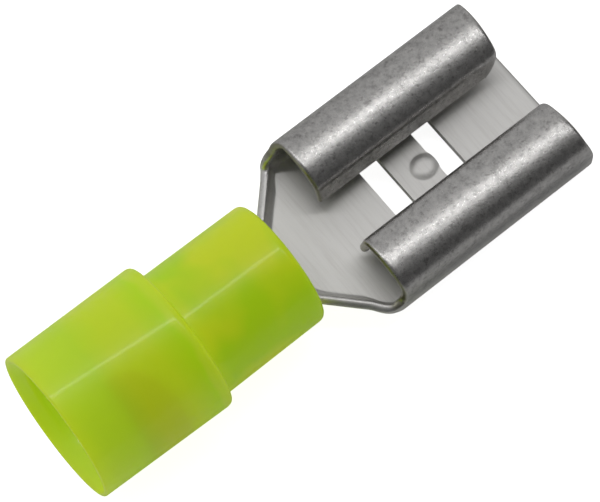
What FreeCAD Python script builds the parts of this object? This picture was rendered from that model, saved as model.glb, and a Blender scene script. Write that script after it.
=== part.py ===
import FreeCAD, Part
import math
import os

import Sketcher

# Insulated female push-on terminal for 4 to 6 mm2 (12 to 10 AWG) stranded wire and a 9.5 x 1.2 mm tab.
# Three pieces are pressed together: a stamped and rolled tin-plated brass terminal, a stepped brass
# grip sleeve on its barrel, and a stepped nylon sleeve over both.
# Origin: centre of the wire barrel's rear mouth. +X runs along the barrel to the tab receptacle,
# +Z is the side that the receptacle's edges curl up to. Millimetres.

SIZES = {
    # nylon sleeve
    "entry_length": 8.15,        # wide rear part
    "entry_diameter": 8.8,
    "collar_length": 6.3,        # narrow front part
    "collar_diameter": 7.2,
    "nylon_wall": 0.9,           # wall of the wide part
    "funnel_depth": 0.9,         # flare at the wire entry
    "funnel_lip": 0.25,          # wall left at the rear edge
    "edge_round": 0.35,          # moulded outer edges
    # grip sleeve
    "grip_wall": 0.35,
    "grip_setback": 0.15,        # from the nylon's front face
    "grip_narrow_length": 7.2,
    "grip_flare_length": 1.2,
    "grip_wide_length": 2.6,
    # wire barrel
    "stock": 0.5,                # strip thickness, everywhere
    "barrel_bore": 4.0,
    "barrel_length": 6.6,
    "seam_gap": 0.12,
    # neck
    "neck_length": 3.65,         # nylon front face to receptacle
    "flare_length": 2.75,
    "flange_height": 1.2,
    "bore_play": 0.0,            # between barrel, grip sleeve and nylon: a press fit
    "trough_inset": 0.05,        # how far the neck's rear end lies inside the barrel's wall
    "inner_corner": 0.15,        # cut across the neck's inner corners
    # tab receptacle
    "receptacle_width": 10.7,
    "receptacle_length": 12.55,
    "receptacle_height": 3.5,
    "tab_gap": 1.0,              # floor to curl tips, for a 1.2 mm tab with spring
    "corner_bend": 0.7,          # outside radii of the bends
    "shoulder_bend": 1.5,
    "crown_bend": 3.5,
    "lip_bend": 0.75,
    "lip_lean": 78,              # degrees between the lip and the floor
    "curl_width": 3.7,           # each curl, from its outer wall to its tip
    "front_rake": 0.5,           # how far the curl's top front edge leans back
    "lead_in_depth": 1.1,
    "lead_in_width": 2.2,
    # windows and detent
    "window_length": 1.25,       # along X
    "window_width": 6.0,
    "rear_window_start": 2.8,    # from the receptacle's rear edge
    "bridge_length": 2.2,
    "detent_diameter": 1.5,
    "detent_height": 0.28,
    "detent_offset": 0.5,        # in front of the bridge's middle
    "detent_shrink": 0.15,       # how much smaller in radius the hollow is than the bump
}

doc = FreeCAD.newDocument("push_on_terminal")
sheet = doc.addObject("Spreadsheet::Sheet", "Sizes")
for row, (alias, size) in enumerate(SIZES.items(), start=1):
    sheet.set(f"A{row}", alias)
    sheet.set(f"B{row}", str(size))
    sheet.setAlias(f"B{row}", alias)
doc.recompute()


def expand(expression):
    """Put the sheet's name before each alias of an expression."""
    words = expression.replace("(", " ( ").replace(")", " ) ").split()
    return " ".join(f"Sizes.{word}" if word in SIZES or word in DERIVED else word for word in words)


# Places that several pieces share, kept in the sheet as formulas of the sizes above.
DERIVED = {
    "barrel_front": "barrel_length + 0",
    "nylon_front": "barrel_front + grip_setback",
    "step": "nylon_front - collar_length",
    "entry_face": "step - entry_length",
    "funnel_end": "entry_face + funnel_depth",
    "receptacle_rear": "nylon_front + neck_length",
    "receptacle_front": "receptacle_rear + receptacle_length",
    "barrel_radius": "barrel_bore / 2 + stock",
    "underside": "0 - barrel_radius",
    "floor_top": "underside + stock",
    "flange_top": "underside + flange_height",
    "half_width": "receptacle_width / 2",
    "lip_reach": "half_width - curl_width",
    "crown": "underside + receptacle_height",
    "grip_bore": "barrel_radius + bore_play",
    "grip_radius": "grip_bore + grip_wall",
    "grip_flare_front": "barrel_front - grip_narrow_length",
    "grip_flare_rear": "grip_flare_front - grip_flare_length",
    "grip_rear": "grip_flare_rear - grip_wide_length",
    "entry_bore": "entry_diameter / 2 - nylon_wall",
    "collar_bore": "grip_radius + bore_play",
    "grip_wide_radius": "entry_bore - bore_play",
    "front_window_start": "rear_window_start + window_length + bridge_length",
    "bridge_middle": "receptacle_rear + rear_window_start + window_length + bridge_length / 2",
}
for row, (alias, formula) in enumerate(DERIVED.items(), start=len(SIZES) + 2):
    sheet.set(f"A{row}", alias)
    sheet.set(f"B{row}", "=" + formula)
    sheet.setAlias(f"B{row}", alias)
doc.recompute()


def value(expression):
    """The present value of a sheet expression, as a plain number."""
    result = sheet.evalExpression(expand(expression))
    return float(getattr(result, "Value", result))


def plane(body, role):
    """One of a body's own origin planes."""
    for feature in body.Origin.OriginFeatures:
        if feature.Role == role:
            return feature
    raise ValueError(role)


def new_sketch(body, name, role, offset="0"):
    """An empty sketch on an origin plane, moved along the plane's normal."""
    sketch = body.newObject("Sketcher::SketchObject", name)
    sketch.AttachmentSupport = [(plane(body, role), "")]
    sketch.MapMode = "FlatFace"
    sketch.setExpression("AttachmentOffset.Base.z", expand(offset))
    return sketch


def pin(sketch, geometry, point, name, across, up):
    """Tie one point of a sketch to two sheet expressions."""
    for kind, axis, expression in (("DistanceX", "across", across), ("DistanceY", "up", up)):
        index = sketch.addConstraint(
            Sketcher.Constraint(kind, -1, 1, geometry, point, value(expression)))
        sketch.renameConstraint(index, f"{name}_{axis}")
        sketch.setExpression(f"Constraints.{name}_{axis}", expand(expression))


def outline(body, name, role, corners, offset="0"):
    """A closed sketch of straight lines whose corners are pairs of sheet expressions."""
    sketch = new_sketch(body, name, role, offset)
    points = [FreeCAD.Vector(value(across), value(up), 0) for across, up in corners]
    count = len(points)
    for index in range(count):
        sketch.addGeometry(Part.LineSegment(points[index], points[(index + 1) % count]), False)
    for index in range(count):
        sketch.addConstraint(Sketcher.Constraint("Coincident", index, 2, (index + 1) % count, 1))
    for index, (across, up) in enumerate(corners):
        pin(sketch, index, 1, f"corner{index}", across, up)
    doc.recompute()
    return sketch


def negative(expression):
    return f"0 - ( {expression} )"


def revolve(body, name, corners, feature="PartDesign::Revolution"):
    """A solid of revolution about X, from corners given as (x, radius)."""
    sketch = outline(body, name + "_outline", "XZ_Plane", corners)
    solid = body.newObject(feature, name)
    solid.Profile = sketch
    solid.ReferenceAxis = (sketch, ["H_Axis"])
    solid.Angle = 360
    doc.recompute()
    return solid


def pad(body, name, sketch, length):
    solid = body.newObject("PartDesign::Pad", name)
    solid.Profile = sketch
    solid.setExpression("Length", expand(length))
    doc.recompute()
    return solid


def cut_through(body, name, sketch, length):
    """A pocket of a given total length, half of it to each side of its sketch."""
    solid = body.newObject("PartDesign::Pocket", name)
    solid.Profile = sketch
    solid.Midplane = True
    solid.setExpression("Length", expand(length))
    before = body.Shape.Volume
    doc.recompute()
    if not body.Shape.Volume < before:
        raise ValueError(name + " cuts nothing")
    return solid


def new_body(label):
    body = doc.addObject("PartDesign::Body", label)
    body.Label = label
    body.Placement = FreeCAD.Placement()
    return body


# --- insulating sleeve: nylon, moulded, stepped, with a funnel for the wire ---------------------------
nylon = new_body("insulating_sleeve")
sleeve = revolve(nylon, "sleeve", [
    ("entry_face", "entry_diameter / 2 - funnel_lip"),
    ("entry_face", "entry_diameter / 2"),
    ("step", "entry_diameter / 2"),
    ("step", "collar_diameter / 2"),
    ("nylon_front", "collar_diameter / 2"),
    ("nylon_front", "collar_bore"),
    ("grip_flare_front", "collar_bore"),
    ("grip_flare_rear", "entry_bore"),
    ("funnel_end", "entry_bore"),
])


def outer_rims(shape):
    """The circular edges at the nylon's two outer shoulders and at its front face."""
    rims = []
    places = ((value("step"), value("entry_diameter / 2")),
              (value("nylon_front"), value("collar_diameter / 2")))
    for number, edge in enumerate(shape.Edges, start=1):
        curve = edge.Curve
        if not isinstance(curve, Part.Circle):
            continue
        for along, radius in places:
            if abs(curve.Center.x - along) < 1e-4 and abs(curve.Radius - radius) < 1e-4:
                rims.append(f"Edge{number}")
    return rims


rounds = nylon.newObject("PartDesign::Fillet", "moulded_edges")
rounds.Base = (sleeve, outer_rims(sleeve.Shape))
rounds.setExpression("Radius", expand("edge_round"))
doc.recompute()

# --- grip sleeve: thin drawn brass tube, pressed on the barrel, wide where it holds the insulation ----
grip = new_body("grip_sleeve")
revolve(grip, "tube", [
    ("grip_rear", "grip_wide_radius - grip_wall"),
    ("grip_rear", "grip_wide_radius"),
    ("grip_flare_rear", "grip_wide_radius"),
    ("grip_flare_front", "grip_radius"),
    ("barrel_front", "grip_radius"),
    ("barrel_front", "grip_bore"),
    ("grip_flare_front", "grip_bore"),
    ("grip_flare_rear", "grip_wide_radius - grip_wall"),
])

# --- terminal: one strip, rolled into a barrel at the rear and two curls at the front ----------------
terminal = new_body("terminal")

barrel = new_sketch(terminal, "barrel_outline", "YZ_Plane", "0")
for name, radius in (("bore", "barrel_bore / 2"), ("outside", "barrel_radius")):
    index = barrel.addGeometry(
        Part.Circle(FreeCAD.Vector(0, 0, 0), FreeCAD.Vector(0, 0, 1), value(radius)), False)
    barrel.addConstraint(Sketcher.Constraint("Coincident", index, 3, -1, 1))
    constraint = barrel.addConstraint(Sketcher.Constraint("Radius", index, value(radius)))
    barrel.renameConstraint(constraint, name)
    barrel.setExpression(f"Constraints.{name}", expand(radius))
pad(terminal, "barrel", barrel, "barrel_length")

# The neck is lofted from a trough within the barrel's wall to the receptacle's low channel.
TROUGH_ANGLES = (20, 45, 68)     # degrees up from the lowest line of the barrel
TROUGH_OUTSIDE = "( barrel_radius - trough_inset )"
TROUGH_INSIDE = "( barrel_radius - stock + trough_inset )"


def on_ring(radius, angle):
    """A corner on a circle about the barrel's axis."""
    return (f"{radius} * {math.sin(math.radians(angle)):.4f}",
            f"0 - {radius} * {math.cos(math.radians(angle)):.4f}")


TROUGH = ([on_ring(TROUGH_OUTSIDE, angle) for angle in TROUGH_ANGLES]
          + [on_ring(TROUGH_INSIDE, angle) for angle in reversed(TROUGH_ANGLES)])
CHANNEL = [
    ("half_width - corner_bend", "underside"),
    ("half_width", "underside + corner_bend"),
    ("half_width", "flange_top"),
    ("half_width - stock", "flange_top"),
    ("half_width - stock", "underside + corner_bend"),
    ("half_width - corner_bend - inner_corner", "floor_top"),
]


def both_sides(half):
    """Corners of a whole section from those of its left half."""
    return [(negative(across), up) for across, up in reversed(half)] + list(half)


sections = [
    outline(terminal, "trough", "YZ_Plane", both_sides(TROUGH), "barrel_front - stock / 2"),
    outline(terminal, "channel_rear", "YZ_Plane", both_sides(CHANNEL), "nylon_front + flare_length"),
    outline(terminal, "channel_front", "YZ_Plane", both_sides(CHANNEL), "receptacle_rear + stock"),
]
neck = terminal.newObject("PartDesign::AdditiveLoft", "neck")
neck.Profile = sections[0]
neck.Sections = sections[1:]
neck.Ruled = True
doc.recompute()


def tip_across(reach_angle):
    """Where the lip's outer face ends across the receptacle, for an angle of crown before the lip."""
    turn = math.radians(reach_angle)
    lean = math.radians(value("lip_lean"))
    crown = value("crown_bend")
    lip = value("lip_bend")
    across = value("half_width - shoulder_bend") - math.sin(turn) * (crown - lip) - math.sin(lean) * lip
    up = value("crown") - crown + math.cos(turn) * (crown - lip) + math.cos(lean) * lip
    return across - (up - value("floor_top + tab_gap")) / math.tan(lean)


def crown_reach():
    """The angle of crown that puts the tip at its reach, found by halving."""
    least = 0
    most = value("lip_lean")
    for _ in range(30):
        middle = (least + most) / 2
        if tip_across(middle) > value("lip_reach"):
            least = middle
        else:
            most = middle
    return middle


def curl_path(sketch, inset, reach_angle):
    """Floor, wall and curl of the left half as tangent lines and arcs, at a given inset in the strip."""
    wall = value("half_width") - inset
    under = value("underside") + inset
    corner = value("corner_bend")
    shoulder = value("shoulder_bend")
    crown = value("crown_bend")
    lip = value("lip_bend")
    top = value("crown")
    lean = value("lip_lean")
    corner_centre = FreeCAD.Vector(value("half_width") - corner, value("underside") + corner, 0)
    shoulder_centre = FreeCAD.Vector(value("half_width") - shoulder, top - shoulder, 0)
    crown_centre = FreeCAD.Vector(shoulder_centre.x, top - crown, 0)
    turn = math.radians(90 + reach_angle)
    lip_centre = crown_centre + FreeCAD.Vector(math.cos(turn), math.sin(turn), 0) * (crown - lip)
    last = math.radians(90 + lean)
    lip_end = lip_centre + FreeCAD.Vector(math.cos(last), math.sin(last), 0) * (lip - inset)
    down = FreeCAD.Vector(-math.sin(last), math.cos(last), 0)
    axis = FreeCAD.Vector(0, 0, 1)

    def arc(centre, radius, start, end):
        return Part.ArcOfCircle(Part.Circle(centre, axis, radius), start, end)

    half_turn = math.pi / 2
    shapes = [
        Part.LineSegment(FreeCAD.Vector(0, under, 0), FreeCAD.Vector(corner_centre.x, under, 0)),
        arc(corner_centre, corner - inset, -half_turn, 0),
        Part.LineSegment(FreeCAD.Vector(wall, corner_centre.y, 0),
                         FreeCAD.Vector(wall, shoulder_centre.y, 0)),
        arc(shoulder_centre, shoulder - inset, 0, half_turn),
        arc(crown_centre, crown - inset, half_turn, turn),
        arc(lip_centre, lip - inset, turn, last),
        Part.LineSegment(lip_end, lip_end + down * ((value("floor_top + tab_gap") - lip_end.y) / down.y)),
    ]
    first = sketch.GeometryCount
    sketch.addGeometry(shapes, False)
    for index in range(first, first + len(shapes) - 1):
        sketch.addConstraint(Sketcher.Constraint("Tangent", index, 2, index + 1, 1))
    sketch.addConstraint(Sketcher.Constraint("PointOnObject", first, 1, -2))
    sketch.addConstraint(Sketcher.Constraint("Horizontal", first))
    sketch.addConstraint(Sketcher.Constraint("Vertical", first + 2))
    return first


def tie(sketch, name, expression, kind, *where):
    """Add one dimension and bind it to a sheet expression."""
    index = sketch.addConstraint(Sketcher.Constraint(kind, *where, value(expression)))
    sketch.renameConstraint(index, name)
    sketch.setExpression(f"Constraints.{name}", expand(expression))


CORNER, WALL, SHOULDER, CROWN, LIP, TIP = 1, 2, 3, 4, 5, 6

reach = crown_reach()
curl = new_sketch(terminal, "curl_outline", "YZ_Plane", "receptacle_rear")
outer = curl_path(curl, 0, reach)
tie(curl, "underside", "underside", "DistanceY", -1, 1, outer, 1)
tie(curl, "outer_wall", "half_width", "DistanceX", -1, 1, outer + WALL, 1)
tie(curl, "corner", "corner_bend", "Radius", outer + CORNER)
tie(curl, "shoulder", "shoulder_bend", "Radius", outer + SHOULDER)
tie(curl, "crown", "crown_bend", "Radius", outer + CROWN)
tie(curl, "lip", "lip_bend", "Radius", outer + LIP)
tie(curl, "top", "crown", "DistanceY", -1, 1, outer + SHOULDER, 2)
curl.addConstraint(Sketcher.Constraint("Vertical", outer + SHOULDER, 3, outer + CROWN, 3))
tie(curl, "reach", "lip_reach", "DistanceX", -1, 1, outer + TIP, 2)
tie(curl, "gap", "floor_top + tab_gap", "DistanceY", -1, 1, outer + TIP, 2)
tie(curl, "lean", "lip_lean", "Angle", outer + TIP, -1)
inner = curl_path(curl, value("stock"), reach)
for bend in (CORNER, SHOULDER, CROWN, LIP):
    curl.addConstraint(Sketcher.Constraint("Coincident", inner + bend, 3, outer + bend, 3))
tie(curl, "inner_wall", "half_width - stock", "DistanceX", -1, 1, inner + WALL, 1)
curl.addConstraint(Sketcher.Constraint("Parallel", inner + TIP, outer + TIP))
tip_end = curl.addGeometry(Part.LineSegment(curl.getPoint(outer + TIP, 2), curl.getPoint(inner + TIP, 2)), False)
curl.addConstraint(Sketcher.Constraint("Coincident", tip_end, 1, outer + TIP, 2))
curl.addConstraint(Sketcher.Constraint("Coincident", tip_end, 2, inner + TIP, 2))
curl.addConstraint(Sketcher.Constraint("Perpendicular", tip_end, outer + TIP))
middle = curl.addGeometry(Part.LineSegment(curl.getPoint(outer, 1), curl.getPoint(inner, 1)), False)
curl.addConstraint(Sketcher.Constraint("Coincident", middle, 1, outer, 1))
curl.addConstraint(Sketcher.Constraint("Coincident", middle, 2, inner, 1))
left_half = pad(terminal, "receptacle_left", curl, "receptacle_length")
right_half = terminal.newObject("PartDesign::Mirrored", "receptacle_right")
right_half.Originals = [left_half]
right_half.MirrorPlane = (plane(terminal, "XZ_Plane"), [""])
terminal.Tip = right_half
doc.recompute()


def window(name, start):
    """A slot across the floor: its rear edge, counted from the receptacle's rear edge."""
    rear = f"receptacle_rear + {start}"
    front = f"{rear} + window_length"
    corners = [(rear, "0 - window_width / 2"), (front, "0 - window_width / 2"),
               (front, "window_width / 2"), (rear, "window_width / 2")]
    sketch = outline(terminal, name + "_outline", "XY_Plane", corners, "underside + stock / 2")
    cut_through(terminal, name, sketch, "2 * stock")


window("rear_window", "rear_window_start")
window("front_window", "front_window_start")


def detent_cone(name, kind, base_radius, level):
    """A low cone on the bridge: the raised detent, or the hollow pressed under it."""
    cone = terminal.newObject(kind, name)
    cone.AttachmentSupport = [(plane(terminal, "XY_Plane"), "")]
    cone.MapMode = "FlatFace"
    cone.setExpression("AttachmentOffset.Base.x", expand("bridge_middle + detent_offset"))
    cone.setExpression("AttachmentOffset.Base.z", expand(level))
    cone.setExpression("Radius1", expand(base_radius))
    cone.setExpression("Radius2", expand(f"( {base_radius} ) / 2"))
    cone.setExpression("Height", expand("detent_height"))
    doc.recompute()


detent_cone("detent", "PartDesign::AdditiveCone", "detent_diameter / 2", "floor_top")
detent_cone("detent_hollow", "PartDesign::SubtractiveCone", "detent_diameter / 2 - detent_shrink", "underside")

# The curls' front edges lean back, and the corners by the lips are cut back further, to lead the tab in.
rake = outline(terminal, "rake_outline", "XZ_Plane", [
    ("receptacle_front", "flange_top"),
    ("receptacle_front + stock", "flange_top"),
    ("receptacle_front + stock", "crown + stock"),
    ("receptacle_front - front_rake", "crown + stock"),
])
cut_through(terminal, "front_rake", rake, "2 * receptacle_width")

lead_in = outline(terminal, "lead_in_outline", "XY_Plane", [
    ("receptacle_front + stock", "0 - lip_reach - lead_in_width"),
    ("receptacle_front", "0 - lip_reach - lead_in_width"),
    ("receptacle_front - lead_in_depth", "0 - lip_reach"),
    ("receptacle_front - lead_in_depth", "lip_reach"),
    ("receptacle_front", "lip_reach + lead_in_width"),
    ("receptacle_front + stock", "lip_reach + lead_in_width"),
], "crown")
cut_through(terminal, "lead_in", lead_in, "2 * ( receptacle_height - stock - tab_gap / 2 )")

seam = outline(terminal, "seam_outline", "XY_Plane", [
    ("0 - stock", "0 - seam_gap / 2"),
    ("barrel_front + stock", "0 - seam_gap / 2"),
    ("barrel_front + stock", "seam_gap / 2"),
    ("0 - stock", "seam_gap / 2"),
], "barrel_radius")
cut_through(terminal, "butt_seam", seam, "3 * stock")

# --- checks and files -------------------------------------------------------------------------------
for thing in doc.Objects:
    if "Invalid" in thing.State or "Error" in thing.State:
        raise ValueError(f"{thing.Name}: {thing.State}")

PIECES = (terminal, grip, nylon)
for piece in PIECES:
    shape = piece.Shape
    if shape.isNull() or not shape.isValid() or len(shape.Solids) != 1:
        raise ValueError(f"{piece.Label}: not one valid solid")

os.makedirs("parts", exist_ok=True)
for piece in PIECES:
    piece.Shape.exportStep(f"parts/{piece.Label}.step")
    box = piece.Shape.BoundBox
    print(f"{piece.Label}: {piece.Shape.Volume:.1f} mm3, x {box.XMin:.2f} to {box.XMax:.2f}, "
          f"y {box.YMin:.2f} to {box.YMax:.2f}, z {box.ZMin:.2f} to {box.ZMax:.2f}")
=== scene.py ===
import math

import bmesh
import bpy
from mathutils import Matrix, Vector, kdtree


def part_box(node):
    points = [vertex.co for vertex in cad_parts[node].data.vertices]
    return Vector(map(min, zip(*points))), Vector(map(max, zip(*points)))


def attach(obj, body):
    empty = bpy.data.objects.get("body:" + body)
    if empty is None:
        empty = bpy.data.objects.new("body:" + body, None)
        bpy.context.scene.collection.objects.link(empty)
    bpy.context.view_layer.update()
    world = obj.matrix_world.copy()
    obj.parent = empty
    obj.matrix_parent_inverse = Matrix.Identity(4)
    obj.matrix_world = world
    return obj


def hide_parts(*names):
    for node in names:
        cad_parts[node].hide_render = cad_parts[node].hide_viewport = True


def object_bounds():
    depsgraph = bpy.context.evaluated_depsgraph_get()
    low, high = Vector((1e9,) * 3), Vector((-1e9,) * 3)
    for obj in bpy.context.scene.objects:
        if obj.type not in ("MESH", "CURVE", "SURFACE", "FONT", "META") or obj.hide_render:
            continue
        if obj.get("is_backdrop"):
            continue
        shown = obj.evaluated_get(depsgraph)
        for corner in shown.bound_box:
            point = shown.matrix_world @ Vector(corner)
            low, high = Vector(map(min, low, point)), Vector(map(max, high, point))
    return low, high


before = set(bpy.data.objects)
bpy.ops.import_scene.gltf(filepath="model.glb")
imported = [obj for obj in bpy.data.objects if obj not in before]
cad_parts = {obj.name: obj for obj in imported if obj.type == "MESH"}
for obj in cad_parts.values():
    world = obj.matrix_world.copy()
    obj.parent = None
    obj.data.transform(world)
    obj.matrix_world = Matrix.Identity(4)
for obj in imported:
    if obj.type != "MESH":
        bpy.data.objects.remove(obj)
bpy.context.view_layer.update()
MM = 0.001

# --- The bench, the camera and the studio light -------------------------------------------------------
# A pale bench that the terminal lies on, touching the sleeve's shoulder and the receptacle's front edge.
# Soft light from overhead and from +Y, dark towards -Y, with one narrow strip lamp overhead.

terminal_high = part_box("terminal")[1]
sleeve_low, sleeve_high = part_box("insulating_sleeve")
grip_low, grip_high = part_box("grip_sleeve")


def plain_material(name, colour, roughness, metallic=0.0):
    """A material with one Principled shader, returned with that shader's node."""
    material = bpy.data.materials.new(name)
    material.use_nodes = True
    shader = material.node_tree.nodes["Principled BSDF"]
    shader.inputs["Base Color"].default_value = (*colour, 1)
    shader.inputs["Roughness"].default_value = roughness
    shader.inputs["Metallic"].default_value = metallic
    return material, shader


COLLAR = 6.3 * MM
UNDERSIDE = -2.5 * MM
BENCH_SIZE = 1.2
shoulder_x = sleeve_high.x - COLLAR
bench_slope = math.atan2(UNDERSIDE - sleeve_low.z, terminal_high.x - shoulder_x)
bpy.ops.mesh.primitive_plane_add(size=BENCH_SIZE, location=(shoulder_x, 0, sleeve_low.z),
                                 rotation=(0, -bench_slope, 0))
bench = bpy.context.object
bench.name = "bench"
bench_material, bench_shader = plain_material("bench_paint", (0.93, 0.93, 0.93), 0.9)
bench_shader.inputs["Emission Color"].default_value = (1, 1, 1, 1)
bench_rays = bench_material.node_tree.nodes.new("ShaderNodeLightPath")
bench_glow = bench_material.node_tree.nodes.new("ShaderNodeMath")
bench_glow.operation = "MULTIPLY"
bench_glow.inputs[1].default_value = 0.9
bench_material.node_tree.links.new(bench_rays.outputs["Is Camera Ray"], bench_glow.inputs[0])
bench_material.node_tree.links.new(bench_glow.outputs[0], bench_shader.inputs["Emission Strength"])
bench.data.materials.append(bench_material)
bench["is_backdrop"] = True

AIM = Vector((8.18, 0.48, -2.10)) * MM
AZIMUTH = math.radians(-33.64)
ELEVATION = math.radians(70.13)
ROLL = math.radians(5.34)
DISTANCE = 128.1 * MM
towards_camera = Vector((math.sin(AZIMUTH) * math.cos(ELEVATION),
                         -math.cos(AZIMUTH) * math.cos(ELEVATION), math.sin(ELEVATION)))
camera_data = bpy.data.cameras.new("camera")
camera_data.lens = 150
camera_data.sensor_width = 36
camera_data.clip_start = 0.01
camera = bpy.data.objects.new("camera", camera_data)
camera.location = AIM + towards_camera * DISTANCE
camera.rotation_euler = towards_camera.to_track_quat("Z", "Y").to_euler()
camera.rotation_euler.rotate_axis("Z", -ROLL)
bpy.context.scene.collection.objects.link(camera)
bpy.context.scene.camera = camera
bpy.context.scene.view_settings.view_transform = "Standard"

world = bpy.data.worlds.new("studio")
world.use_nodes = True
bpy.context.scene.world = world
sky = world.node_tree.nodes
sky_links = world.node_tree.links
sky_direction = sky.new("ShaderNodeTexCoord")
sky_axes = sky.new("ShaderNodeSeparateXYZ")
sky_angle = sky.new("ShaderNodeMath")
sky_angle.operation = "ARCTAN2"
sky_share = sky.new("ShaderNodeMapRange")
sky_share.inputs["From Min"].default_value = -math.pi / 2
sky_share.inputs["From Max"].default_value = math.pi / 2
sky_ramp = sky.new("ShaderNodeValToRGB")
SKY = ((-90, 0.13), (-62, 0.085), (-10, 0.08), (4, 0.20), (20, 0.38), (42, 0.46), (62, 0.44), (90, 0.38))
for angle, level in SKY[2:]:
    sky_ramp.color_ramp.elements.new((angle + 90) / 180)
for element, (angle, level) in zip(sky_ramp.color_ramp.elements, SKY):
    element.position = (angle + 90) / 180
    element.color = (level, level, level, 1)
sky_links.new(sky_direction.outputs["Generated"], sky_axes.inputs[0])
sky_links.new(sky_axes.outputs["Y"], sky_angle.inputs[0])
sky_links.new(sky_axes.outputs["Z"], sky_angle.inputs[1])
sky_links.new(sky_angle.outputs[0], sky_share.inputs["Value"])
sky_links.new(sky_share.outputs[0], sky_ramp.inputs["Fac"])
sky_links.new(sky_ramp.outputs["Color"], sky["Background"].inputs["Color"])
backdrop = sky.new("ShaderNodeBackground")           # plain white where the sky itself is seen
backdrop.inputs["Color"].default_value = (1, 1, 1, 1)
sky_rays = sky.new("ShaderNodeLightPath")
sky_or_backdrop = sky.new("ShaderNodeMixShader")
sky_links.new(sky_rays.outputs["Is Camera Ray"], sky_or_backdrop.inputs["Fac"])
sky_links.new(sky["Background"].outputs[0], sky_or_backdrop.inputs[1])
sky_links.new(backdrop.outputs[0], sky_or_backdrop.inputs[2])
sky_links.new(sky_or_backdrop.outputs[0], sky["World Output"].inputs["Surface"])


def area_lamp(name, place, size, power):
    """A rectangular lamp aimed at the middle of the terminal."""
    data = bpy.data.lights.new(name, "AREA")
    data.shape = "RECTANGLE"
    data.size, data.size_y = size
    data.energy = power
    lamp = bpy.data.objects.new(name, data)
    lamp.location = place
    lamp.rotation_euler = (place - AIM).to_track_quat("Z", "Y").to_euler()
    bpy.context.scene.collection.objects.link(lamp)


STRIP_TILT = math.radians(10)
STRIP_HEIGHT = 0.26
strip_place = AIM + Vector((0.03, STRIP_HEIGHT * math.sin(STRIP_TILT), STRIP_HEIGHT * math.cos(STRIP_TILT)))
area_lamp("strip_lamp", strip_place, (0.34, 0.015), 0.135)

# --- Terminal -----------------------------------------------------------------------------------------
# One strip of tin-plated brass: a tab receptacle with two curls, a flared neck with turned-up flanges,
# and a butt-seamed wire barrel. It is blanked and then rolled, so its sheared edges show bare brass.

STOCK = 0.5
BARREL = 2.25                    # radii here are at the middle of the strip's thickness
FLOOR = -BARREL
HALF_WIDTH = 5.098
TOP = 0.75                       # height of the crown above the barrel's axis
CORNER, SHOULDER, CROWN, LIP = 0.30, 0.90, 3.25, 0.5
LIP_LEAN = math.radians(78)
LIP_END = -1.0
FLANGE = 0.85                    # height of the neck's flanges
NECK_LEAN = math.radians(60)
BARREL_FRONT = grip_high.x / MM
SLEEVE_FRONT = sleeve_high.x / MM
FRONT = terminal_high.x / MM
RECEPTACLE = 12.55
REAR = FRONT - RECEPTACLE
WINDOWS = ((REAR + 2.80, REAR + 4.05), (REAR + 6.25, REAR + 7.48))
WINDOW_HALF = 3.0
DETENT = Vector((REAR + 5.62, -0.1))
DETENT_RISE = 0.14
FLAT = HALF_WIDTH - CORNER


def smooth_step(low, high, x):
    """0 below low, 1 above high, with a smooth rise between."""
    t = min(1, max(0, (x - low) / (high - low)))
    return t * t * (3 - 2 * t)


def soft_ramp(x, softness=0.12):
    """Zero below 0, x above it, with a rounded corner."""
    return softness * math.log1p(math.exp(x / softness)) if x < 20 * softness else x


def walk(steps, length):
    """The point and heading at a length along a path of (length, radius) steps that starts on the floor."""
    across, up, heading = 0.0, FLOOR, 0.0
    for step, radius in steps:
        part = min(length, step)
        if radius:
            turn = part / radius
            across += radius * (math.sin(heading + turn) - math.sin(heading))
            up += radius * (math.cos(heading) - math.cos(heading + turn))
            heading += turn
        else:
            across += part * math.cos(heading)
            up += part * math.sin(heading)
        length -= part
        if length <= 0:
            break
    return across, up, heading


def curl_steps(reach, slope):
    """The receptacle's half section, from the middle of the floor to the end of the lip."""
    wall = TOP - CROWN + (CROWN - SHOULDER) * math.cos(slope) - FLOOR - CORNER
    return [(FLAT, None), (CORNER * math.pi / 2, CORNER), (wall, None),
            (SHOULDER * (math.pi / 2 - slope), SHOULDER), (CROWN * (slope + reach), CROWN),
            (LIP * (LIP_LEAN - reach), LIP)]


def whole_curl(slope, tip):
    """The half section whose crown starts on a slope and whose lip ends at a distance from the middle."""
    low, high = -slope, LIP_LEAN
    for _ in range(40):
        reach = (low + high) / 2
        across, up, heading = walk(curl_steps(reach, slope), 99)
        end = across - (up - LIP_END) / math.tan(LIP_LEAN)
        if end > tip:
            low = reach
        else:
            high = reach
    return curl_steps(reach, slope) + [((up - LIP_END) / math.sin(LIP_LEAN), None)]


# The left curl (1) and the right one (-1) aren't quite alike: their crowns start on different slopes.
CURLS = {1: whole_curl(math.radians(13), 1.68), -1: whole_curl(math.radians(21), 1.78)}
BASE = FLAT + CORNER * math.pi / 2 + FLANGE - CORNER      # strip below the flanges' height
FULL = {side: sum(step for step, radius in CURLS[side]) for side in CURLS}


NECK = 3.5                       # length of the trough between barrel and receptacle
NECK_BEND = 0.9                  # the trough's corners, between the barrel's radius and the receptacle's
FLARE_START = {1: 0.50, -1: 0.32}


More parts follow.
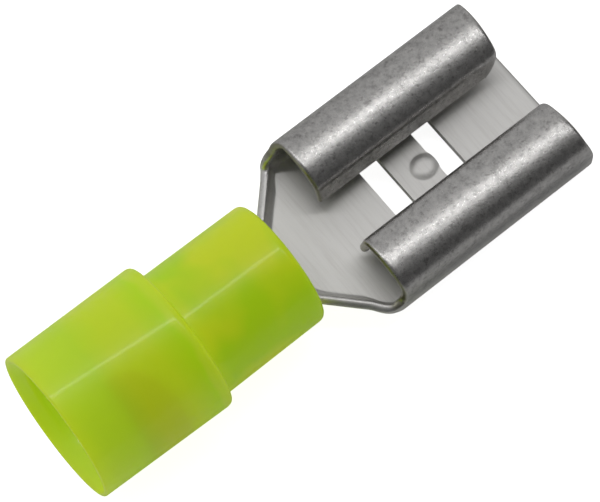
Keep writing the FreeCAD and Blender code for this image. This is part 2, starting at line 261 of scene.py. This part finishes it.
def neck_section(x, side):
    """Steps of the trough between barrel and receptacle, with the lengths of its flat and of its whole."""
    along = x - (REAR - NECK)
    opening = smooth_step(-0.3, 0.9, along)
    closing = smooth_step(2.1, NECK, along)
    radius = BARREL + (NECK_BEND - BARREL) * opening + (CORNER - NECK_BEND) * closing
    lean = NECK_LEAN + (math.pi / 2 - NECK_LEAN) * closing
    if radius * (1 - math.cos(lean)) > FLANGE:
        lean = math.acos(1 - FLANGE / radius)
    straight = max(0.0, (FLANGE - radius * (1 - math.cos(lean))) / math.sin(lean))
    edge = BARREL * 0.78 + 1.05 * (soft_ramp(along + FLARE_START[side]) - soft_ramp(along - 2.85))
    edge += (HALF_WIDTH - edge) * closing
    flat = max(0.0, edge - radius * math.sin(lean) - straight * math.cos(lean))
    flat *= smooth_step(-0.3, 0.1, along)
    return [(flat, None), (radius * lean, radius), (9.0, None)], flat, flat + radius * lean + straight


def section(x, side):
    """Steps at one place along the strip, with its flat and its base length."""
    if x <= BARREL_FRONT:
        lean = math.acos(1 - FLANGE / BARREL)
        return [(math.pi * BARREL, BARREL)], 0.0, BARREL * lean
    if x >= REAR:
        return CURLS[side], FLAT, BASE
    return neck_section(x, side)


def spaced(low, high, pitch):
    """Even stations from low up to, but without, high."""
    count = max(1, round((high - low) / pitch))
    return [low + (high - low) * index / count for index in range(count)]


SLANT = 1.05                     # the left curl's rear edge slants back to the flange
FILLET = 0.45                    # the right curl's rear edge meets the flange in a small fillet
stations = spaced(0, BARREL_FRONT, 0.35)
barrel_stations = len(stations)
stations += spaced(BARREL_FRONT, REAR - SLANT, 0.12)
curl_start = {1: len(stations)}
stations += spaced(REAR - SLANT, REAR - FILLET, 0.08)
curl_start[-1] = len(stations)
stations += spaced(REAR - FILLET, REAR, 0.075)
marks = [REAR, WINDOWS[0][0], WINDOWS[0][1], WINDOWS[1][0], WINDOWS[1][1], FRONT]
for low, high, pitch in zip(marks, marks[1:], (0.2, 0.16, 0.1, 0.16, 0.17)):
    stations += spaced(low, high, pitch)
stations += [FRONT - 0.1, FRONT - 0.05, FRONT - 0.02, FRONT]

flat_rows = spaced(0, 1.0, 0.1) + spaced(1.0, WINDOW_HALF, 0.2) + spaced(WINDOW_HALF, FLAT, 0.2)
flat_rows = [row / FLAT for row in flat_rows]
bend_rows = spaced(0, 0.9, 0.09) + [0.90, 0.94, 0.97]
CURL_ROWS = 96
curl_shares = [1 - (1 - index / CURL_ROWS) ** 1.15 for index in range(1, CURL_ROWS + 1)]
wing_base = BARREL * math.acos(1 - FLANGE / BARREL)
wing_rows = spaced(wing_base, math.pi * BARREL - 0.06, 0.25)[1:] + [math.pi * BARREL - 0.06]


WALL_RAKE = 0.40                 # how far the front edge leans back over the wall, and then over the crown
CROWN_RAKE = 0.25
TIP_ROUND = 1.0                  # the corner cut off the curl's tip


def front_recess(length, side):
    """How far back the curl's front edge lies at a length along the section."""
    crown_start = sum(step for step, radius in CURLS[side][:4])
    corner = crown_start + 0.55 * (FULL[side] - crown_start)
    lean_back = WALL_RAKE * smooth_step(BASE, crown_start, length)
    lean_back += CROWN_RAKE * smooth_step(crown_start, FULL[side], length)
    around = max(0.0, (length - corner) / (FULL[side] - corner))
    return lean_back + TIP_ROUND * (1 - math.sqrt(max(0.0, 1 - around * around)))


def rear_edge(length, side):
    """How far forward of its start the curl's rear edge lies, at a length along the section."""
    rise = length - BASE
    if side < 0:
        return FILLET * math.sqrt(max(0.0, 1 - (1 - min(1.0, rise / FILLET)) ** 2))
    return SLANT * (0.55 * min(1.0, rise / 1.0) + 0.45 * smooth_step(0.7, 2.3, rise))


def strip_point(x, length, side, curled):
    """A point of the strip's middle surface, in millimetres."""
    steps, flat, base = section(x, side)
    across, up, heading = walk(steps, length)
    if curled and x < REAR:
        top_across, top_up, heading = walk(steps, base)
        foot_across, foot_up, heading = walk(CURLS[side], BASE)
        across, up, heading = walk(CURLS[side], length)
        across += top_across - foot_across
        up += top_up - foot_up
    offset = Vector((x, across)) - DETENT
    if x > REAR:
        up += DETENT_RISE * smooth_step(0.85, 0.40, offset.length)
    return Vector((x, side * across, up))


def placed(x, length, side):
    """A station's place once the curl's front and rear edges are cut."""
    start = stations[curl_start[side]]
    if length > BASE and x >= start - 1e-9:
        rear_end = REAR + 2.0                        # the rear cut's shift fades out by here
        front_start = FRONT - 4.0                    # and the front cut's starts here
        if x < rear_end:
            cut = start + rear_edge(length, side)
            x = cut + (x - start) * (rear_end - cut) / (rear_end - start)
        x -= front_recess(length, side) * smooth_step(front_start, FRONT, x)
    return x


points = []
where = {}


def corner_at(station, row, x, length, side, curled=False):
    """The index of one grid corner, made when it is first asked for."""
    key = (station, row if row == 0 else row * side)
    if key not in where:
        where[key] = len(points)
        points.append(strip_point(x, length, side, curled))
    return where[key]


rows = [("base", value) for value in flat_rows]
rows += [("bend", value) for value in bend_rows + [1.0]]
base_count = len(rows)
grids = {"base": range(base_count), "wing": range(base_count, base_count + len(wing_rows)),
         "curl": range(base_count + 100, base_count + 100 + CURL_ROWS)}


def base_length(station, row, side):
    """Length along the section of a base row: shares of the flat, then shares of the bend and flange."""
    steps, flat, base = section(stations[station], side)
    bend_from = max(min(flat, base - 0.6), 0.45 * base)
    kind, share = rows[row]
    if kind == "base":
        return share * bend_from
    return bend_from + share * (base - bend_from)


def grid_index(kind, station, row, side):
    """The corner of one of the strip's three grids: floor and flange, barrel wing, or curl."""
    x = stations[station]
    if kind == "base":
        return corner_at(station, row, x, base_length(station, row, side), side)
    if kind == "wing":
        return corner_at(station, row, x, wing_rows[row - base_count], side)
    length = BASE + (FULL[side] - BASE) * curl_shares[row - base_count - 100]
    return corner_at(station, row, placed(x, length, side), length, side, True)


def in_window(station, row):
    """Whether a patch of the floor is punched out."""
    middle = (stations[station] + stations[station + 1]) / 2
    reach = (base_length(station, row, 1) + base_length(station, row + 1, 1)) / 2
    return any(low < middle < high for low, high in WINDOWS) and reach < WINDOW_HALF


faces = []
for side in (1, -1):
    for station in range(len(stations) - 1):
        strips = [("base", row, row + 1, "base") for row in range(base_count - 1)]
        if station < barrel_stations:
            wing = list(grids["wing"])
            strips += [("base", base_count - 1, wing[0], "wing")]
            strips += [("wing", low, high, "wing") for low, high in zip(wing, wing[1:])]
        if station >= curl_start[side]:
            curl = list(grids["curl"])
            strips += [("base", base_count - 1, curl[0], "curl")]
            strips += [("curl", low, high, "curl") for low, high in zip(curl, curl[1:])]
        for low_kind, low, high, high_kind in strips:
            if low_kind == "base" and high_kind == "base" and in_window(station, low):
                continue
            quad = [grid_index(low_kind, station, low, side),
                    grid_index(low_kind, station + 1, low, side),
                    grid_index(high_kind, station + 1, high, side),
                    grid_index(high_kind, station, high, side)]
            faces.append(quad if side > 0 else quad[::-1])


def mesh_object(name, corners, polygons):
    """A smooth mesh object from corners in millimetres."""
    mesh = bpy.data.meshes.new(name)
    mesh.from_pydata([corner * MM for corner in corners], [], polygons)
    mesh.update()
    mesh.shade_smooth()
    thing = bpy.data.objects.new(name, mesh)
    bpy.context.scene.collection.objects.link(thing)
    return thing


def apply_modifiers(thing):
    """Make what the modifiers show the object's own mesh."""
    bpy.context.view_layer.update()
    evaluated = thing.evaluated_get(bpy.context.evaluated_depsgraph_get())
    mesh = bpy.data.meshes.new_from_object(evaluated)
    thing.modifiers.clear()
    thing.data = mesh


terminal = mesh_object("terminal_strip", points, faces)
shape = bmesh.new()
shape.from_mesh(terminal.data)
rim = [corner.co for corner in shape.verts if corner.is_boundary]
nearest_rim = kdtree.KDTree(len(rim))
for index, place in enumerate(rim):
    nearest_rim.insert(place, index)
nearest_rim.balance()
shape.free()
EDGE_ROUND = 0.20                # the sheared edges are tumbled round, the windows' edges stay crisp
fullness = []
for corner in terminal.data.vertices:
    place, index, distance = nearest_rim.find(corner.co)
    in_floor = place.x > (REAR + 1) * MM and place.z < (FLOOR + 0.1) * MM and place.x < (FRONT - 1) * MM
    inward = min(1.0, distance / MM / EDGE_ROUND)
    fullness.append(1.0 if in_floor else math.sqrt(1 - (1 - inward) ** 2))
thickness = terminal.vertex_groups.new(name="thickness")
for index, full in enumerate(fullness):
    thickness.add([index], full, "REPLACE")
terminal.data.attributes.new("edge_wear", "FLOAT", "POINT")
terminal.data.attributes["edge_wear"].data.foreach_set("value", [1 - full for full in fullness])
thicken = terminal.modifiers.new("stock", "SOLIDIFY")
thicken.thickness = STOCK * MM
thicken.offset = 0
thicken.use_even_offset = True
thicken.vertex_group = "thickness"
thicken.thickness_vertex_group = 0.35
soften = terminal.modifiers.new("sheared_edges", "BEVEL")
soften.width = 0.05 * MM
soften.segments = 3
soften.limit_method = "ANGLE"
soften.angle_limit = math.radians(50)
soften.harden_normals = True


def node_group(name, inputs, outputs):
    """An empty shader node group with named sockets, and its input and output nodes."""
    group = bpy.data.node_groups.new(name, "ShaderNodeTree")
    for label, kind, default in inputs:
        socket = group.interface.new_socket(label, in_out="INPUT", socket_type=kind)
        if default is not None:
            socket.default_value = default
    for label, kind in outputs:
        group.interface.new_socket(label, in_out="OUTPUT", socket_type=kind)
    return group, group.nodes.new("NodeGroupInput"), group.nodes.new("NodeGroupOutput")


def noise_node(tree, scale, detail, source, rough=0.5):
    """A noise texture whose scale is in bumps to the metre."""
    node = tree.nodes.new("ShaderNodeTexNoise")
    node.inputs["Scale"].default_value = scale
    node.inputs["Detail"].default_value = detail
    node.inputs["Roughness"].default_value = rough
    tree.links.new(source, node.inputs["Vector"])
    return node


def ramp_node(tree, source, stops):
    """A colour ramp from a list of (place, colour) stops."""
    node = tree.nodes.new("ShaderNodeValToRGB")
    for place, colour in stops[2:]:
        node.color_ramp.elements.new(place)
    for element, (place, colour) in zip(node.color_ramp.elements, stops):
        element.position = place
        element.color = (*colour, 1)
    tree.links.new(source, node.inputs["Fac"])
    return node


def grey(level):
    return (level, level, level)


def grain_group():
    """Fine grain for plate, tube and moulding: a smooth height, and sparse specks that stand out of it."""
    group, given, put = node_group("fine_grain", [
        ("Place", "NodeSocketVector", None), ("Fineness", "NodeSocketFloat", 5000.0),
        ("Harshness", "NodeSocketFloat", 0.6), ("Speck Start", "NodeSocketFloat", 0.55),
        ("Speck Full", "NodeSocketFloat", 0.70)],
        [("Height", "NodeSocketFloat"), ("Specks", "NodeSocketFloat")])
    fine = noise_node(group, 1.0, 4, given.outputs["Place"])
    coarse = noise_node(group, 1.0, 6, given.outputs["Place"])
    coarser = group.nodes.new("ShaderNodeMath")
    coarser.operation = "MULTIPLY"
    coarser.inputs[1].default_value = 0.42
    specks = group.nodes.new("ShaderNodeMapRange")
    specks.interpolation_type = "SMOOTHSTEP"
    links = [(given.outputs["Fineness"], fine.inputs["Scale"]),
             (given.outputs["Harshness"], fine.inputs["Roughness"]),
             (given.outputs["Fineness"], coarser.inputs[0]), (coarser.outputs[0], coarse.inputs["Scale"]),
             (given.outputs["Harshness"], coarse.inputs["Roughness"]),
             (coarse.outputs["Fac"], specks.inputs["Value"]),
             (given.outputs["Speck Start"], specks.inputs["From Min"]),
             (given.outputs["Speck Full"], specks.inputs["From Max"]),
             (fine.outputs["Fac"], put.inputs["Height"]), (specks.outputs[0], put.inputs["Specks"])]
    for start, end in links:
        group.links.new(start, end)
    return group


def fine_grain(tree, place, fineness, harshness, start, full):
    """The grain group placed in a material with that material's own values."""
    node = tree.nodes.new("ShaderNodeGroup")
    node.node_tree = bpy.data.node_groups.get("fine_grain") or grain_group()
    tree.links.new(place, node.inputs["Place"])
    for name, value in (("Fineness", fineness), ("Harshness", harshness),
                        ("Speck Start", start), ("Speck Full", full)):
        node.inputs[name].default_value = value
    return node


tin, tin_shader = plain_material("tin_plate", (0.6, 0.59, 0.57), 0.34, 1.0)
tree = tin.node_tree
place = tree.nodes.new("ShaderNodeTexCoord")
axes = tree.nodes.new("ShaderNodeSeparateXYZ")
tree.links.new(place.outputs["Object"], axes.inputs[0])
rolled = tree.nodes.new("ShaderNodeMapRange")        # 0 on the flat floor, 1 on the curls
rolled.interpolation_type = "SMOOTHSTEP"
rolled.inputs["From Min"].default_value = -1.85 * MM
rolled.inputs["From Max"].default_value = -0.9 * MM
tree.links.new(axes.outputs["Z"], rolled.inputs["Value"])


def mixed(tree, share, low, high):
    """A colour mix whose share, low and high are sockets or colours."""
    node = tree.nodes.new("ShaderNodeMix")
    node.data_type = "RGBA"
    for name, value in (("Factor", share), ("A", low), ("B", high)):
        socket = [one for one in node.inputs if one.name == name and one.enabled][0]
        if isinstance(value, bpy.types.NodeSocket):
            tree.links.new(value, socket)
        elif name == "Factor":
            socket.default_value = value
        else:
            socket.default_value = (*value, 1)
    return [one for one in node.outputs if one.enabled][0]


mottle = noise_node(tree, 2900, 8, place.outputs["Object"], 0.72)
curl_colour = ramp_node(tree, mottle.outputs["Fac"], [
    (0.28, (0.32, 0.31, 0.305)), (0.47, (0.54, 0.53, 0.52)), (0.66, (0.67, 0.655, 0.64))])
grain = fine_grain(tree, place.outputs["Object"], 8200, 0.7, 0.54, 0.66)
scuffs = tree.nodes.new("ShaderNodeMath")
scuffs.operation = "MULTIPLY"
scuffs.inputs[1].default_value = 0.5
tree.links.new(grain.outputs["Specks"], scuffs.inputs[0])
SCUFF = (0.17, 0.16, 0.155)
scuffed = mixed(tree, scuffs.outputs[0], curl_colour.outputs["Color"], SCUFF)
stretch = tree.nodes.new("ShaderNodeMapping")
stretch.inputs["Scale"].default_value = (1.0, 0.06, 1.0)
tree.links.new(place.outputs["Object"], stretch.inputs["Vector"])
drag = noise_node(tree, 5200, 3, stretch.outputs["Vector"], 0.7)
floor_colour = ramp_node(tree, drag.outputs["Fac"], [
    (0.25, (0.80, 0.785, 0.765)), (0.50, (0.87, 0.86, 0.84)), (0.80, (0.90, 0.89, 0.87))])
plate = mixed(tree, rolled.outputs[0], floor_colour.outputs["Color"], scuffed)
wear = tree.nodes.new("ShaderNodeAttribute")
wear.attribute_name = "edge_wear"
neck_side = tree.nodes.new("ShaderNodeMapRange")     # bare brass on the curls' edges, tin on the neck's
neck_side.inputs["From Min"].default_value = (REAR - 0.9) * MM
neck_side.inputs["From Max"].default_value = (REAR - 0.2) * MM
tree.links.new(axes.outputs["X"], neck_side.inputs["Value"])
bare = tree.nodes.new("ShaderNodeMath")
bare.operation = "MULTIPLY"
tree.links.new(wear.outputs["Fac"], bare.inputs[0])
tree.links.new(neck_side.outputs[0], bare.inputs[1])
bare_share = ramp_node(tree, bare.outputs[0], [(0.12, grey(0)), (0.55, grey(0.85))])
BARE_EDGE = (0.27, 0.26, 0.19)
colour = mixed(tree, bare_share.outputs["Color"], plate, BARE_EDGE)
shine = ramp_node(tree, grain.outputs["Height"], [(0.3, grey(0.25)), (0.7, grey(0.34))])
rough = mixed(tree, rolled.outputs[0], (0.55, 0.55, 0.55), shine.outputs["Color"])
relief = mixed(tree, rolled.outputs[0], drag.outputs["Color"], grain.outputs["Height"])
bump = tree.nodes.new("ShaderNodeBump")
bump.inputs["Strength"].default_value = 0.6
bump.inputs["Distance"].default_value = 0.011 * MM
tree.links.new(colour, tin_shader.inputs["Base Color"])
tree.links.new(rough, tin_shader.inputs["Roughness"])
tree.links.new(relief, bump.inputs["Height"])
tree.links.new(bump.outputs["Normal"], tin_shader.inputs["Normal"])
terminal.data.materials.append(tin)
apply_modifiers(terminal)
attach(terminal, "root")
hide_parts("terminal")

# --- Grip sleeve --------------------------------------------------------------------------------------
# A thin drawn brass tube pressed over the barrel. Its rear is drawn wider, and grips the wire's
# insulation when the second crimp is made.

TURN_STEPS = 144


def turned(name, profile, squash=None):
    """A ring-shaped mesh turned about the barrel's axis from (x, radius) corners."""
    corners = []
    for x, radius in profile:
        for step in range(TURN_STEPS):
            angle = 2 * math.pi * step / TURN_STEPS
            reach = radius + (squash(x, radius, angle) if squash else 0)
            corners.append(Vector((x, reach * math.sin(angle), reach * math.cos(angle))))
    count = len(profile)
    polygons = []
    for ring in range(count):
        after = (ring + 1) % count
        for step in range(TURN_STEPS):
            ahead = (step + 1) % TURN_STEPS
            polygons.append((ring * TURN_STEPS + step, after * TURN_STEPS + step,
                             after * TURN_STEPS + ahead, ring * TURN_STEPS + ahead))
    return mesh_object(name, corners, polygons)


def rounded(profile, cuts):
    """A closed (x, radius) profile with each named corner replaced by a short arc."""
    result = []
    count = len(profile)
    for index, corner in enumerate(profile):
        here = Vector(corner)
        before = Vector(profile[index - 1])
        after = Vector(profile[(index + 1) % count])
        size = cuts.get(index, 0.04)
        start = here + (before - here).normalized() * size
        end = here + (after - here).normalized() * size
        for step in range(6):
            t = step / 5
            result.append(start * (1 - t) ** 2 + here * 2 * t * (1 - t) + end * t * t)
    return result


GRIP_WALL = 0.35
GRIP_NARROW = 2.5
grip_rear, grip_front, grip_radius = grip_low.x / MM, grip_high.x / MM, grip_high.z / MM
FLARE = (grip_rear + 2.6, grip_rear + 3.8)
grip_profile = rounded([
    (grip_rear, grip_radius - GRIP_WALL), (grip_rear, grip_radius), (FLARE[0], grip_radius),
    (FLARE[1], GRIP_NARROW + GRIP_WALL), (grip_front, GRIP_NARROW + GRIP_WALL), (grip_front, GRIP_NARROW),
    (FLARE[1], GRIP_NARROW), (FLARE[0], grip_radius - GRIP_WALL)], {2: 0.3, 3: 0.3, 6: 0.3, 7: 0.3})
grip = turned("grip_tube", grip_profile)
brass, brass_shader = plain_material("drawn_brass", (0.78, 0.56, 0.22), 0.3, 1.0)
tree = brass.node_tree
place = tree.nodes.new("ShaderNodeTexCoord")
stretch = tree.nodes.new("ShaderNodeMapping")        # draw lines run along the tube
stretch.inputs["Scale"].default_value = (0.05, 1.0, 1.0)
tree.links.new(place.outputs["Object"], stretch.inputs["Vector"])
lines = fine_grain(tree, stretch.outputs["Vector"], 5600, 0.6, 0.50, 0.70)
stain = noise_node(tree, 700, 4, place.outputs["Object"])
metal = ramp_node(tree, stain.outputs["Fac"], [(0.35, (0.62, 0.43, 0.15)), (0.65, (0.80, 0.59, 0.25))])
lined = tree.nodes.new("ShaderNodeMath")
lined.operation = "MULTIPLY"
lined.inputs[1].default_value = 0.35
tree.links.new(lines.outputs["Specks"], lined.inputs[0])
tree.links.new(mixed(tree, lined.outputs[0], metal.outputs["Color"], (0.42, 0.28, 0.10)),
               brass_shader.inputs["Base Color"])
dull = ramp_node(tree, lines.outputs["Height"], [(0.3, grey(0.22)), (0.7, grey(0.38))])
tree.links.new(dull.outputs["Color"], brass_shader.inputs["Roughness"])
bump = tree.nodes.new("ShaderNodeBump")
bump.inputs["Strength"].default_value = 0.5
bump.inputs["Distance"].default_value = 0.012 * MM
tree.links.new(lines.outputs["Height"], bump.inputs["Height"])
tree.links.new(bump.outputs["Normal"], brass_shader.inputs["Normal"])
grip.data.materials.append(brass)
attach(grip, "root")
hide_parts("grip_sleeve")

# --- Insulating sleeve --------------------------------------------------------------------------------
# Moulded translucent nylon, stepped, pressed over the grip sleeve. The rear is a funnel for the wire.

STEP = shoulder_x / MM
ENTRY = sleeve_low.x / MM
WIDE, NARROW = sleeve_high.z / MM - 0.15, 3.59
BORE, COLLAR_BORE = 3.52, 2.87
sleeve_profile = rounded([
    (ENTRY, WIDE - 0.28), (ENTRY, WIDE - 0.06), (STEP, WIDE), (STEP, NARROW + 0.02),
    (SLEEVE_FRONT, NARROW - 0.03), (SLEEVE_FRONT, COLLAR_BORE),
    (FLARE[1] + 0.2, COLLAR_BORE), (FLARE[0] + 0.2, BORE), (ENTRY + 0.9, BORE)],
    {1: 0.12, 2: 0.38, 3: 0.08, 4: 0.42, 8: 0.4})


def moulding(x, radius, angle):
    """The wide part's slight crown, and its lean to one side, which the grip sleeve's end holds back."""
    if x > STEP + 0.3 or radius < NARROW and x > grip_rear:
        return 0.0
    back = (STEP - x) / (STEP - ENTRY)
    aside = 0.14 + 0.11 * smooth_step(0.0, 0.6, back)
    if radius < NARROW:
        return aside * smooth_step(grip_rear, ENTRY + 1.2, x) * math.sin(angle)
    crown = 0.14 * max(0.0, math.sin(math.pi * min(1.0, max(0.0, back))))
    return (crown + aside * math.sin(angle)) * smooth_step(NARROW, NARROW + 0.4, radius)


sleeve = turned("nylon_sleeve", sleeve_profile, squash=moulding)
REAR_SLANT = 0.32                # the rear face leans forward by this much at the middle, twice it on top
for corner in sleeve.data.vertices:
    rearward = smooth_step(ENTRY + 3.0, ENTRY, corner.co.x / MM)
    corner.co.x += REAR_SLANT * MM * rearward * (1 + corner.co.z / (WIDE * MM))
nylon, nylon_shader = plain_material("yellow_green_nylon", (0.55, 0.70, 0.02), 0.36)
tree = nylon.node_tree
place = tree.nodes.new("ShaderNodeTexCoord")
axes = tree.nodes.new("ShaderNodeSeparateXYZ")
tree.links.new(place.outputs["Object"], axes.inputs[0])
along = tree.nodes.new("ShaderNodeMapRange")
along.inputs["From Min"].default_value = sleeve_low.x + 0.8 * MM
along.inputs["From Max"].default_value = sleeve_high.x + 0.8 * MM
cloud = noise_node(tree, 260, 2, place.outputs["Object"])
waver = tree.nodes.new("ShaderNodeMath")
waver.operation = "MULTIPLY_ADD"
waver.inputs[1].default_value = 1.6 * MM
tree.links.new(cloud.outputs["Fac"], waver.inputs[0])
tree.links.new(axes.outputs["X"], waver.inputs[2])
tree.links.new(waver.outputs[0], along.inputs["Value"])
LENGTH = SLEEVE_FRONT - ENTRY
PALE, DULL = (0.64, 0.82, 0.025), (0.58, 0.79, 0.020)
GOLD, GREEN = (0.69, 0.79, 0.014), (0.56, 0.80, 0.006)
AMBER = (0.65, 0.80, 0.014)
# Painted light and painted reflection over the nylon's own yellow-green, set by place along the sleeve:
# paler at the rear, where light comes through bare nylon, then amber, green and gold where the brass
# underneath shows through and mirrors its surroundings.
tint = ramp_node(tree, along.outputs[0], [
    (0.06, PALE), ((grip_rear - 0.2 - ENTRY) / LENGTH, DULL), ((grip_rear + 1.0 - ENTRY) / LENGTH, AMBER),
    ((FLARE[0] + 0.1 - ENTRY) / LENGTH, AMBER), ((FLARE[1] + 0.2 - ENTRY) / LENGTH, GREEN),
    ((STEP - 0.6 - ENTRY) / LENGTH, PALE), ((STEP + 0.3 - ENTRY) / LENGTH, GOLD), (1.0, GOLD)])
patch = noise_node(tree, 230, 2, place.outputs["Object"])
on_tube = tree.nodes.new("ShaderNodeMapRange")       # the collar's painted reflection of the brass underneath: gold, with darker green patches of painted shade
on_tube.inputs["From Min"].default_value = (STEP - 0.6 - ENTRY) / LENGTH
on_tube.inputs["From Max"].default_value = (STEP + 0.8 - ENTRY) / LENGTH
tree.links.new(along.outputs[0], on_tube.inputs["Value"])
patch_share = ramp_node(tree, patch.outputs["Fac"], [(0.42, grey(0)), (0.60, grey(0.9))])
reflection_patches = tree.nodes.new("ShaderNodeMath")
reflection_patches.operation = "MULTIPLY"
tree.links.new(on_tube.outputs[0], reflection_patches.inputs[0])
tree.links.new(patch_share.outputs["Color"], reflection_patches.inputs[1])
# Painted reflection: a darker green where the brass under the collar would mirror dark surroundings.
DARK_BRASS_REFLECTION = (0.50, 0.75, 0.004)
tint_and_glow_colour = mixed(tree, reflection_patches.outputs[0], tint.outputs["Color"], DARK_BRASS_REFLECTION)
# The same colour also drives a painted glow: the nylon emits light in place of light scattered through it.
tree.links.new(tint_and_glow_colour, nylon_shader.inputs["Emission Color"])
tree.links.new(tint_and_glow_colour, nylon_shader.inputs["Base Color"])
pebble = fine_grain(tree, place.outputs["Object"], 5200, 0.5, 0.52, 0.68)
satin = ramp_node(tree, pebble.outputs["Specks"], [(0.0, grey(0.36)), (1.0, grey(0.48))])
tree.links.new(satin.outputs["Color"], nylon_shader.inputs["Roughness"])
bump = tree.nodes.new("ShaderNodeBump")
bump.inputs["Strength"].default_value = 0.4
bump.inputs["Distance"].default_value = 0.010 * MM
tree.links.new(pebble.outputs["Height"], bump.inputs["Height"])
tree.links.new(bump.outputs["Normal"], nylon_shader.inputs["Normal"])
# Painted glow: a weak emission in the sleeve's colour that lightens its shaded side, in place of light
# scattered through the nylon.
nylon_shader.inputs["Emission Strength"].default_value = 0.23
nylon_shader.inputs["Subsurface Weight"].default_value = 1.0
nylon_shader.inputs["Subsurface Radius"].default_value = (1.0, 1.1, 0.2)
nylon_shader.inputs["Subsurface Scale"].default_value = 0.9 * MM
nylon_shader.inputs["Transmission Weight"].default_value = 0.15
nylon_shader.inputs["IOR"].default_value = 1.46
nylon_shader.inputs["Coat Weight"].default_value = 0.25
nylon_shader.inputs["Coat Roughness"].default_value = 0.12
sleeve.data.materials.append(nylon)
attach(sleeve, "root")
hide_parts("insulating_sleeve")

low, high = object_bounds()
